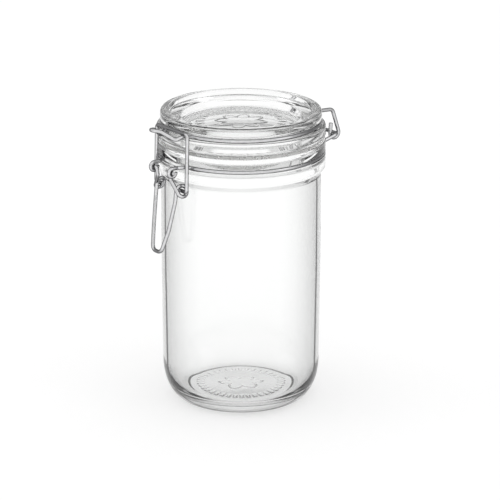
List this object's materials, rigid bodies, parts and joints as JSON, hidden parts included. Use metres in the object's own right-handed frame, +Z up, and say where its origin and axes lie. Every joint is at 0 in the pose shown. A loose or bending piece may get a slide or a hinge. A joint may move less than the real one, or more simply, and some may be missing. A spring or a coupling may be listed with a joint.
{
  "type": "lidded glass canister",
  "caption": "Tall round glass storage canister with a hinged glass lid, a sealing ring and a wire-bail clasp with a lever handle.",
  "frame": {"origin": "on the jar's axis, on the surface that the foot stands on", "axes": "+Z up along the jar's axis; -Y towards the clasp and the tongue; +Y towards the hinge; +X to the right when facing the clasp"},
  "size_m": [0.0942, 0.1232, 0.168],
  "materials": {
    "clear_glass": "clear, fire-polished",
    "clear_rubber": "translucent, smooth",
    "steel_wire": "drawn wire, bright"
  },
  "bodies": {
    "jar": {"glass_jar": "clear_glass", "neck_wire": "steel_wire"},
    "lid": {"glass_lid": "clear_glass", "gasket": "clear_rubber", "lid_wire": "steel_wire"},
    "lever": {"latch_lever": "steel_wire"},
    "bail": {"bail_link": "steel_wire"}
  },
  "joints": [
    {"name": "lid_hinge", "type": "hinge", "parent": "jar", "child": "lid", "pos_m": [0, 0.0575, 0.1466], "axis": [-1, 0, 0], "range_deg": [0, 225]},
    {"name": "lever_pivot", "type": "hinge", "parent": "jar", "child": "lever", "pos_m": [0, -0.0532, 0.1418], "axis": [-1, 0, 0], "range_deg": [0, 150], "deforming": ["bail_link"]},
    {"name": "bail_pivot", "type": "hinge", "parent": "lever", "child": "bail", "pos_m": [0, -0.0479, 0.131], "axis": [-1, 0, 0], "range_deg": [-180, 0]}
  ],
  "couplings": [
    {"joint": "bail_pivot", "follows": "lever_pivot", "ratio": -1.2}
  ]
}
